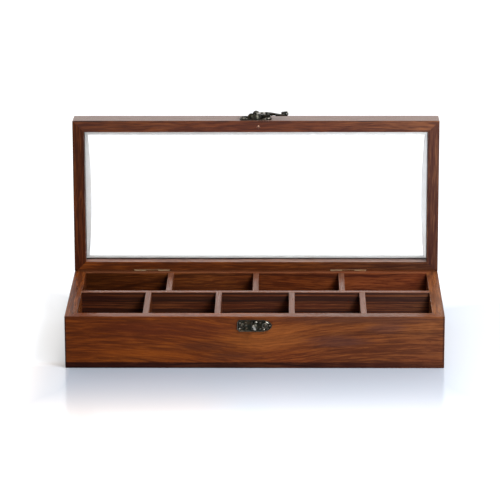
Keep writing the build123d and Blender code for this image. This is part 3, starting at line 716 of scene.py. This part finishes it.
class SPICEBOX_OT_lid_frame(bpy.types.Operator):
    """Finish the lid's rails and stiles"""

    bl_idname = "spicebox.lid_frame"
    bl_label = "Lid frame"

    def execute(self, context):
        finish_board(
            "lid_front_rail", "x", shift=(0.05, 0.08, -0.13), pith=(-0.05, 0.03), contrast=1.2,
            sheen=0.93, ior=1.28,
            # Partly painted light: paler and bluer towards the right
            tones=((-0.152, (0.74, 0.74, 1.05)), (0.0, (0.75, 0.74, 1.3)), (0.152, (0.90, 1.08, 2.1))),
            # The face that is on top while the lid is open: painted shade along its front edge, and behind it
            # a paler painted tone that adds to the sheen
            bands=(
                ("Z", 0.1714, 0.1723, 0.42, (0.026, 0.012, 0.009)),
                ("Z", 0.1716, 0.1720, 0.75, (0.125, 0.058, 0.038), ("Y", 0.0646, 0.0652)),
            ),
        )
        finish_board(
            "lid_back_rail", "x", shift=(-0.12, 0.06, 0.02), pith=(-0.05, 0.03), contrast=1.1,
            tones=((-0.152, (1.10, 0.97, 0.81)), (0.0, (0.84, 0.78, 0.74)), (0.152, (0.53, 0.66, 1.34))),
            # The lip under the pane, front to back: painted sheen, painted shadow at the pane, painted
            # reflection behind it. Then a painted highlight on the lower edge
            bands=(
                ("Z", 0.0508, 0.0515, 0.30, (0.30, 0.185, 0.145), ("Y", 0.0606, 0.0612)),
                (*LID_LIP, 0.95, (0.010, 0.007, 0.005), ("Y", 0.0697, 0.0702)),
                (*LID_LIP, 0.90, (0.70, 0.68, 0.66), ("Y", 0.0728, 0.0733)),
                ("Z", 0.0454, 0.0442, 0.85, (0.40, 0.160, 0.065)),
            ),
        )
        finish_board(
            "lid_left_stile", "z", shift=(0.02, 0.03, 0.09), pith=(0.11, 0.03), contrast=1.1,
            # Partly painted shade: darker than the right stile
            tones=((0.04, (0.50, 0.44, 0.55)), (0.18, (0.58, 0.60, 0.80))),
        )
        finish_board(
            "lid_right_stile", "z", shift=(0.19, 0.07, -0.04), pith=(-0.19, 0.03), wave=0.003, contrast=1.1,
            # Partly painted light and reflection: paler and bluer than the left stile
            tones=((0.04, (0.60, 0.82, 1.9)), (0.18, (0.86, 1.22, 2.8))),
        )
        return {"FINISHED"}


def glass_material():
    """Clear glass, faintly smeared."""
    material, tree, shader, place = new_material("clear glass")
    smear = noise(tree, place, 9.0)
    rough = between(tree, smear, 0.3, 0.8, 0.0, 0.012)
    colour = blend_colour(tree, between(tree, smear, 0.3, 0.8), (1.0, 1.0, 1.0), (0.985, 0.995, 0.99))
    feed(tree, shader, {"Base Color": colour, "Roughness": rough, "IOR": 1.46, "Transmission Weight": 1.0})
    return material


def silicone_material():
    """Clear silicone, with a painted shadow along the back rail, and clearer towards the right."""
    material, tree, shader, place = new_material("clear silicone")
    wet = noise(tree, place, 90.0)
    colour = blend_colour(tree, between(tree, wet, 0.3, 0.7), (0.85, 0.85, 0.845), (0.91, 0.92, 0.925))
    across, _, level = add(tree, "SeparateXYZ", {0: place}).outputs
    # Painted shadow where the bead meets the back rail
    colour = blend_colour(tree, between(tree, level, 0.0525, 0.0519), colour, (0.055, 0.045, 0.040))
    rough = between(tree, wet, 0.3, 0.7, 0.35, 0.5)
    clear = between(tree, across, -0.10, 0.13, 0.46, 0.80)
    normal = relief(tree, wet, 0.4, 0.4 * MM)
    feed(tree, shader, {
        "Base Color": colour, "Roughness": rough, "IOR": 1.41, "Transmission Weight": clear, "Normal": normal,
    })
    return material


def sealant_loops(steps=12):
    """Outer and inner edge of the sealant on the closed lid, in millimetres.

    The outer edge is the lid's opening. The bead is widest in the middle of each short side.
    """
    left, right, near, far = -142.8, 142.8, -54.95, 56.4
    near_width, far_width = 4.6, 2.5
    sides = []
    for side, corner, middle in ((left, 2.2, 4.6), (right, -1.9, -4.2)):
        points = []
        for step in range(steps + 1):
            share = step / steps
            y = near + near_width + (far - far_width - near - near_width) * share
            points.append((side + corner + (middle - corner) * math.sin(math.pi * share) ** 0.8, y))
        sides.append(points)
    outer = [(left, near), (left, far), (right, far), (right, near)]
    return outer, sides[0] + sides[1][::-1]


class SPICEBOX_OT_glass(bpy.types.Operator):
    """Finish the glass pane and build the bead of sealant round it"""

    bl_idname = "spicebox.glass"
    bl_label = "Glass"

    def execute(self, context):
        paint("glass_pane", glass_material())
        silicone = silicone_material()
        paint("glass_sealant", silicone)

        # Height of the pane's upper side on the closed lid, and the bead's gap from it and thickness,
        # in millimetres
        pane_top, gap, thickness = 55.48, 0.02, 1.5
        bm = start_piece()
        for loop in sealant_loops():
            verts = [bm.verts.new((x * MM, y * MM, (pane_top + gap) * MM)) for x, y in loop]
            for pair in zip(verts, verts[1:] + verts[:1]):
                bm.edges.new(pair)
        bmesh.ops.triangle_fill(bm, edges=bm.edges[:], use_beauty=True)
        raise_faces(bm, bm.faces[:], (0.0, 0.0, thickness * MM))
        finish_piece("sealant_bead", bm, silicone, "lid", ("glass_sealant",), bevel=0.4 * MM)
        return {"FINISHED"}


class SPICEBOX_OT_hinges(bpy.types.Operator):
    """Finish the hinges, the brads and the pin in the lid's face"""

    bl_idname = "spicebox.hinges"
    bl_label = "Hinges and brads"

    def execute(self, context):
        latch = context.scene.spice_box_latch
        brass = metal_material(
            "hinge brass", (0.95, 0.58, 0.24), latch.brass, scale=420.0, cover=0.50, roughness=0.34,
            metallic=0.25,
        )
        copper = metal_material(
            "face pin copper", (0.36, 0.17, 0.11), (0.50, 0.28, 0.19), scale=700.0, cover=0.5, roughness=0.38,
        )
        steel = metal_material(
            "brad steel", (0.20, 0.19, 0.18), (0.48, 0.47, 0.45), scale=600.0, cover=0.5, roughness=0.34,
        )
        for node in frame["nodes"]:
            if node.endswith(("_leaf", "_pin")):
                paint(node, brass)
            elif node.endswith("_brads"):
                paint(node, steel)
        paint("lid_face_pin", copper)
        return {"FINISHED"}


class SPICEBOX_OT_catch(bpy.types.Operator):
    """Build the catch plate, its stud and its nails on the front wall"""

    bl_idname = "spicebox.catch"
    bl_label = "Catch"

    def execute(self, context):
        latch = context.scene.spice_box_latch
        low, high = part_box("latch_base_plate")
        stud_low, stud_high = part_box("latch_stud")
        level = (low[2] + high[2]) / 2
        stud_x = (stud_low[0] + stud_high[0]) / 2
        nails = (low[0] + 3.3 * MM, high[0] - 5.7 * MM)
        middle = (0.0, FRONT_Y, level)

        bm = start_piece()
        relief_plate(bm, low[0], high[0], latch.plate_height / 2, latch.plate_thickness, middle, worn_or_lit=0.07)
        field_y = FRONT_Y - latch.plate_thickness + FIELD_DEPTH
        # Beads of the ornament: across, up and radius in millimetres, then stretch, turn and brightness. The
        # brightest are painted highlights
        for x, z, radius, stretch, turn, worn_or_lit in (
            (-7.3, 0.0, 1.5, 1.3, 0.0, 0.04),
            (-7.2, 2.6, 0.8, 1.8, 0.25, 0.03),
            (-7.2, -2.6, 0.8, 1.8, -0.25, 0.02),
            (-11.9, -2.3, 0.8, 1.0, 0.0, 0.8),
            (-11.9, 2.4, 0.7, 1.2, 0.5, 0.25),
            (1.3, 3.0, 1.0, 1.2, 0.0, 0.70),
            (7.6, -3.0, 0.7, 1.1, 0.0, 0.70),
            (-1.0, -3.0, 0.8, 1.6, 0.0, 0.15),
            (4.6, 2.7, 0.7, 1.4, 0.4, 0.10),
            (4.4, -2.7, 0.7, 1.5, -0.4, 0.15),
            (10.2, 2.7, 0.75, 2.4, 0.50, 0.9),
            (10.4, -2.5, 0.6, 2.0, -0.55, 0.10),
            (12.2, 0.1, 0.6, 1.3, 0.0, 0.35),
        ):
            bead(bm, (x * MM, field_y, level + z * MM), radius * MM, 0.9 * MM, (stretch, 0.85), turn, worn_or_lit)
        bar = ((-2.7, -3.6), (-2.7, 3.6), (-1.5, 3.6), (-1.5, -3.6))
        plate(bm, [(x * MM, z * MM) for x, z in bar], 0.4 * MM, 1.35 * MM, middle, worn_or_lit=0.06)
        # Painted highlight: the right collar is brighter than the left
        for x, worn_or_lit in zip(nails, (0.07, 0.22)):
            lathe(bm, COLLAR, (x, FRONT_Y, level), worn_or_lit, NAIL_STEPS)
        finish_bronze("catch_plate", bm, "base", "latch_base_plate", bevel=0.12 * MM)

        bm = start_piece()
        lathe(bm, STUD, (stud_x, FRONT_Y, level), worn_or_lit=0.05)
        # A painted highlight: a bright streak that slants across the stud's head
        head_y = FRONT_Y - 4.9 * MM
        for vert in bm.verts:
            slant = vert.co.x - stud_x + (vert.co.z - level) * 0.4
            if vert.co.y < head_y and -1.5 * MM < slant < 0.3 * MM:
                brighten(bm, [vert], 0.95)
        finish_bronze("catch_stud", bm, "base", "latch_stud")

        bm = start_piece()
        for x in nails:
            lathe(bm, NAIL, (x, FRONT_Y, level), worn_or_lit=0.05, steps=NAIL_STEPS)
        finish_bronze("catch_nails", bm, "base", "latch_base_nails")
        return {"FINISHED"}


class SPICEBOX_OT_hook_plate(bpy.types.Operator):
    """Build the hook's plate, its nails and the rivet on the lid's front rail"""

    bl_idname = "spicebox.hook_plate"
    bl_label = "Hook plate"

    def execute(self, context):
        latch = context.scene.spice_box_latch
        centre = closed_hook_pivot()
        left_end, right_end = -13.2 * MM, 13.4 * MM
        nails = (-10.4 * MM, 10.4 * MM)
        # The plate is 0.8 mm taller than the catch plate, all of it below.
        extra = 0.4 * MM

        bm = start_piece()
        relief_plate(
            bm, left_end, right_end, latch.plate_height / 2 + extra, latch.plate_thickness,
            (0.0, FRONT_Y, centre.z - extra), worn_or_lit=0.05,
        )
        field_y = FRONT_Y - latch.plate_thickness + FIELD_DEPTH
        # Beads of the ornament: across, up, radius, height in millimetres, then stretch, turn, brightness.
        # The bright ones right of the rivet are painted highlights
        for x, z, radius, height, stretch, turn, worn_or_lit in (
            (-7.6, -2.6, 0.9, 0.9, 1.7, -0.3, 0.08),
            (7.4, -2.6, 0.8, 0.9, 1.7, 0.3, 0.2),
            (-3.7, 0.3, 3.5, 4.35, 1.0, 0.0, 0.0),
            (3.6, 2.6, 0.9, 3.5, 1.2, 0.0, 0.35),
            (6.2, 2.7, 0.8, 3.3, 1.0, 0.0, 0.4),
            (8.6, 2.5, 0.7, 3.1, 1.1, 0.0, 0.2),
            (10.9, 2.3, 0.7, 3.0, 0.9, 0.0, 0.5),
        ):
            place = (x * MM, field_y, centre.z + z * MM)
            bead(bm, place, radius * MM, height * MM, (stretch, 0.9), turn, worn_or_lit)
        # A high ridge right of the rivet and a low one left of it: outline and height in millimetres
        for ridge, height in (
            (((0.6, 1.7), (0.6, 4.1), (5.6, 4.1), (9.8, 3.0), (11.9, 1.9), (11.9, 1.7)), 3.3),
            (((-11.9, 2.4), (-11.9, 4.5), (-4.2, 4.5), (-4.2, 2.4)), 1.8),
        ):
            outline = [(centre.x + x * MM, z * MM) for x, z in ridge]
            plate(bm, outline, 0.4 * MM, height * MM, (0.0, FRONT_Y, centre.z))
        lathe(bm, BOSS, centre, worn_or_lit=0.03)
        # Painted highlight: the right collar is brighter than the left
        for x, worn_or_lit in zip(nails, (0.15, 0.45)):
            lathe(bm, COLLAR, (x, FRONT_Y, centre.z), worn_or_lit, NAIL_STEPS)
        finish_bronze("hook_plate", bm, "lid", "latch_lid_plate", bevel=0.1 * MM)

        bm = start_piece()
        for x in nails:
            lathe(bm, NAIL, (x, FRONT_Y, centre.z), worn_or_lit=0.05, steps=NAIL_STEPS)
        finish_bronze("hook_plate_nails", bm, "lid", "latch_lid_nails")

        bm = start_piece()
        lathe(bm, RIVET, centre, worn_or_lit=0.08)
        finish_bronze("hook_rivet", bm, "lid", "latch_pivot_rivet")
        return {"FINISHED"}


def cut_hook(bm):
    """Cut the hook's blank from its outline, with cuts across where it bends; returns its top points."""
    bm.faces.new([bm.verts.new((along * MM, 0.0, up * MM)) for along, up in HOOK_OUTLINE])
    for along in HOOK_CUTS:
        geom = bm.verts[:] + bm.edges[:] + bm.faces[:]
        cut = (along * MM, 0.0, 0.0)
        bmesh.ops.bisect_plane(bm, geom=geom, dist=WELD, plane_co=cut, plane_no=(1.0, 0.0, 0.0))
    return raise_faces(bm, bm.faces[:], (0.0, -HOOK_THICKNESS * MM, 0.0))[0]


def bend_hook(bm, top):
    """Slope the arm down from the hub, crown its top, hollow its underside and fill it out at the claw."""
    for vert in bm.verts:
        along = vert.co.x / MM
        slope = min(max((along - HUB_EDGE) / (ARM_END - HUB_EDGE), 0.0), 1.0)
        vert.co.y -= (HUB_HEIGHT + (END_HEIGHT - HUB_HEIGHT) * slope) * MM
        if vert in top and along > HUB_EDGE:
            vert.co.y -= 0.68 * MM * math.sin(math.pi * min(slope * 1.5, 1.0))
        elif along > HUB_EDGE:
            vert.co.y += 0.25 * MM * math.sin(math.pi * slope)
            claw = min(max((along - 11.6) / 1.4, 0.0), 1.0)
            vert.co.y += max(-vert.co.y - CLAW_HEIGHT * MM, 0.0) * claw


def curl_hook(bm):
    """Curl the hook's far end outwards and back over itself, round a thin roll."""
    tip = [
        face for face in bm.faces
        if abs(face.calc_center_median().x - TIP * MM) < 1e-6 and abs(face.normal.x) > 0.9
    ]
    edges = list({edge for face in tip for edge in face.edges})
    verts = list({vert for face in tip for vert in face.verts})
    axis_y = -(END_HEIGHT + 1.5) * MM
    spun = bmesh.ops.spin(
        bm, geom=tip + edges + verts, cent=(TIP * MM, axis_y, 0.0), axis=(0.0, 0.0, 1.0),
        angle=-math.pi * 1.05, steps=10, use_merge=False, use_duplicate=False,
    )
    last = [item for item in spun["geom_last"] if isinstance(item, bmesh.types.BMFace)]
    raise_faces(bm, last, (-4.1 * MM, 0.6 * MM, 0.0), keep=False)
    inner = [face for face in last + tip if face.is_valid]
    bmesh.ops.delete(bm, geom=inner, context="FACES_ONLY")
    roll_radius = 0.78 * MM
    roll = bmesh.ops.create_cone(
        bm, cap_ends=True, segments=20, radius1=roll_radius, radius2=roll_radius, depth=3.1 * MM,
    )
    bmesh.ops.translate(bm, verts=roll["verts"], vec=(24.3 * MM, axis_y, 0.4 * MM))


class SPICEBOX_OT_hook(bpy.types.Operator):
    """Build the swing hook"""

    bl_idname = "spicebox.hook"
    bl_label = "Hook"

    def execute(self, context):
        bm = start_piece()
        bend_hook(bm, cut_hook(bm))
        curl_hook(bm)
        # Stretches along the hook, in millimetres, and how bright each is: painted highlights on the hub and
        # the arm, then a brighter curled tip
        for start, end, amount in ((1.5, 3.3, 0.85), (6.3, 7.7, 0.85), (9.7, 10.6, 0.3), (26.0, 30.0, 0.75)):
            brighten(bm, [vert for vert in bm.verts if start < vert.co.x / MM < end], amount)
        bmesh.ops.translate(bm, verts=bm.verts, vec=closed_hook_pivot())
        finish_bronze("swing_hook", bm, "hook", "latch_hook", bevel=0.16 * MM)
        return {"FINISHED"}


# Stage


def past_end(tree, x, sign):
    """How far a place lies past one end of the box, from 4 mm inside it, and never under 0."""
    past = maths(tree, "SUBTRACT", times(tree, x, sign), FRONT_HIGH.x - 0.004)
    return maths(tree, "MAXIMUM", past, 0.0)


def side_glow(tree, past, strength, reach):
    """Glow that rises from nothing at the box's end, fast and then slowly, to its strength."""
    fade = maths(tree, "EXPONENT", maths(tree, "DIVIDE", past, -reach))
    return times(tree, maths(tree, "SUBTRACT", 1.0, fade), strength)


def floor_material():
    """Pale glossy floor that brightens away from the box.

    What brightens it is a glow that only the camera and the glass see, so that it lights nothing.
    """
    material, tree, shader, place = new_material("studio floor")
    pale = blend_colour(tree, noise(tree, place, 2.0), (0.495, 0.55, 0.635), (0.505, 0.56, 0.65))
    x, y = add(tree, "SeparateXYZ", {0: place}).outputs[:2]

    # On the left the glow rises faster beside the box than ahead of it, and ahead it is warmer.
    left = past_end(tree, x, -1.0)
    left_ahead = side_glow(tree, left, 0.14, 0.005)
    left_ahead = maths(tree, "ADD", left_ahead, between(tree, left, 0.010, 0.055, 0.0, 0.32))
    left_beside = side_glow(tree, left, 0.53, 0.011)
    left_beside = maths(tree, "ADD", left_beside, between(tree, left, 0.028, 0.060, 0.0, 0.35))
    beside = between(tree, y, FRONT_Y + 0.001, FRONT_Y + 0.020)
    rise = maths(tree, "SUBTRACT", left_beside, left_ahead)
    left_glow = maths(tree, "ADD", left_ahead, times(tree, beside, rise))
    right_glow = side_glow(tree, past_end(tree, x, 1.0), 0.285, 0.030)
    sides = maths(tree, "MAXIMUM", left_glow, right_glow)
    ahead = between(tree, y, FRONT_Y - 0.012, FRONT_Y - 0.19, 0.0, 0.62)
    behind = between(tree, y, -FRONT_Y, -FRONT_Y + 0.10, 0.0, 0.62)
    glow = maths(tree, "MAXIMUM", sides, maths(tree, "MAXIMUM", ahead, behind))
    path = add(tree, "LightPath")
    seen = maths(tree, "MAXIMUM", path.outputs["Is Camera Ray"], path.outputs["Is Transmission Ray"])
    warm = times(tree, between(tree, x, 0.0, -0.05), maths(tree, "SUBTRACT", 1.0, beside))
    glow_tint = blend_colour(tree, warm, (1.04, 1.0, 0.95), (1.30, 1.0, 0.72))
    feed(tree, shader, {
        "Base Color": pale, "Roughness": 0.17, "IOR": 1.65, "Emission Color": glow_tint,
        "Emission Strength": times(tree, seen, glow),
    })
    return material


def add_floor(scene, reach=6.0):
    """Lay the floor, which reaches this far each way."""
    bm = bmesh.new()
    bmesh.ops.create_grid(bm, x_segments=1, y_segments=1, size=reach)
    mesh = bpy.data.meshes.new("studio_floor")
    bm.to_mesh(mesh)
    bm.free()
    floor = bpy.data.objects.new("studio_floor", mesh)
    scene.collection.objects.link(floor)
    mesh.materials.append(floor_material())


def add_room(scene, ambient):
    """Set the world: white to the camera and the glass, a light tent to gloss, and even light to the rest.

    The tent is bright on the left, above and behind. The even light is stronger from behind.
    """
    world = bpy.data.worlds.new("studio")
    scene.world = world
    world.use_nodes = True
    tree = world.node_tree
    tree.nodes.clear()
    output = tree.nodes.new("ShaderNodeOutputWorld")
    path = add(tree, "LightPath")
    look = add(tree, "TexCoord").outputs["Generated"]
    x, y, z = add(tree, "SeparateXYZ", {0: look}).outputs
    tent = maths(tree, "MAXIMUM", between(tree, x, -0.45, -0.8), between(tree, z, 0.6, 0.9))
    tent = maths(tree, "MAXIMUM", tent, between(tree, y, -0.15, 0.5))
    bright = maths(tree, "ADD", times(tree, tent, 0.83), 0.22)
    mirrored = times(tree, path.outputs["Is Glossy Ray"], bright)
    seen = maths(tree, "MAXIMUM", path.outputs["Is Camera Ray"], path.outputs["Is Transmission Ray"])
    even = maths(tree, "SUBTRACT", 1.0, maths(tree, "MAXIMUM", seen, path.outputs["Is Glossy Ray"]))
    even = times(tree, even, between(tree, y, -0.4, 0.6, 0.5 * ambient, 1.9 * ambient))
    strength = maths(tree, "ADD", maths(tree, "ADD", seen, mirrored), even)
    background = add(tree, "Background", {"Color": (1.0, 1.0, 1.0, 1.0), "Strength": strength})
    tree.links.new(background.outputs[0], output.inputs[0])


def add_lamp(scene, name, place, aim, side, power):
    """Hang a square lamp that points at a place."""
    data = bpy.data.lights.new(name, "AREA")
    data.shape = "RECTANGLE"
    data.size = side
    data.size_y = side
    data.energy = power
    light = bpy.data.objects.new(name, data)
    light.location = place
    light.rotation_euler = (Vector(aim) - Vector(place)).to_track_quat("-Z", "Y").to_euler()
    scene.collection.objects.link(light)


def add_camera(scene, lens):
    """Set the camera where the photograph was taken from."""
    data = bpy.data.cameras.new("photograph")
    data.lens = lens
    data.sensor_width = 36.0
    data.clip_end = 50.0
    camera = bpy.data.objects.new("photograph", data)
    level = math.cos(PITCH)
    forward = Vector((-math.sin(YAW) * level, math.cos(YAW) * level, -math.sin(PITCH)))
    right = Vector((math.cos(YAW), math.sin(YAW), 0.0))
    up = right.cross(forward)
    side = right * math.cos(ROLL) + up * math.sin(ROLL)
    top = up * math.cos(ROLL) - right * math.sin(ROLL)
    turn = Matrix((side, top, -forward)).transposed()
    camera.matrix_world = Matrix.Translation(CAMERA_PLACE) @ turn.to_4x4()
    scene.collection.objects.link(camera)
    scene.camera = camera


class SPICEBOX_OT_stage(bpy.types.Operator):
    """Set the floor, the light and the camera"""

    bl_idname = "spicebox.stage"
    bl_label = "Stage"

    def execute(self, context):
        scene = context.scene
        stage = scene.spice_box_stage
        add_floor(scene)
        add_room(scene, stage.ambient)
        add_lamp(scene, "key", (0.50, -0.45, 0.85), aim=(0.0, 0.0, 0.05), side=0.4, power=stage.key_power)
        add_lamp(scene, "front", (0.9, -1.9, 1.0), aim=(0.05, 0.0, 0.06), side=1.2, power=stage.fill_power)
        add_camera(scene, stage.lens)
        scene.view_settings.view_transform = "Standard"
        return {"FINISHED"}


STEPS = (
    SPICEBOX_OT_case,
    SPICEBOX_OT_dividers,
    SPICEBOX_OT_lid_frame,
    SPICEBOX_OT_glass,
    SPICEBOX_OT_hinges,
    SPICEBOX_OT_catch,
    SPICEBOX_OT_hook_plate,
    SPICEBOX_OT_hook,
    SPICEBOX_OT_stage,
)
GROUPS = {
    "spice_box_wood": SpiceBoxWood,
    "spice_box_latch": SpiceBoxLatch,
    "spice_box_stage": SpiceBoxStage,
}


class SPICEBOX_PT_panel(bpy.types.Panel):
    """Lists the sizes, the colours and the steps"""

    bl_idname = "SPICEBOX_PT_panel"
    bl_label = "Spice Box"
    bl_space_type = "VIEW_3D"
    bl_region_type = "UI"
    bl_category = "Spice Box"

    def draw(self, context):
        for name, group in GROUPS.items():
            box = self.layout.box()
            for prop in group.__annotations__:
                box.prop(getattr(context.scene, name), prop)
        for step in STEPS:
            self.layout.operator(step.bl_idname)


def register():
    for group in GROUPS.values():
        bpy.utils.register_class(group)
    for step in STEPS:
        bpy.utils.register_class(step)
    bpy.utils.register_class(SPICEBOX_PT_panel)
    for name, group in GROUPS.items():
        setattr(bpy.types.Scene, name, PointerProperty(type=group))


def unregister():
    for name in GROUPS:
        delattr(bpy.types.Scene, name)
    bpy.utils.unregister_class(SPICEBOX_PT_panel)
    for step in reversed(STEPS):
        bpy.utils.unregister_class(step)
    for group in GROUPS.values():
        bpy.utils.unregister_class(group)


def main():
    register()
    for step in STEPS:
        group, name = step.bl_idname.split(".")
        getattr(getattr(bpy.ops, group), name)()


if __name__ == "__main__":
    main()
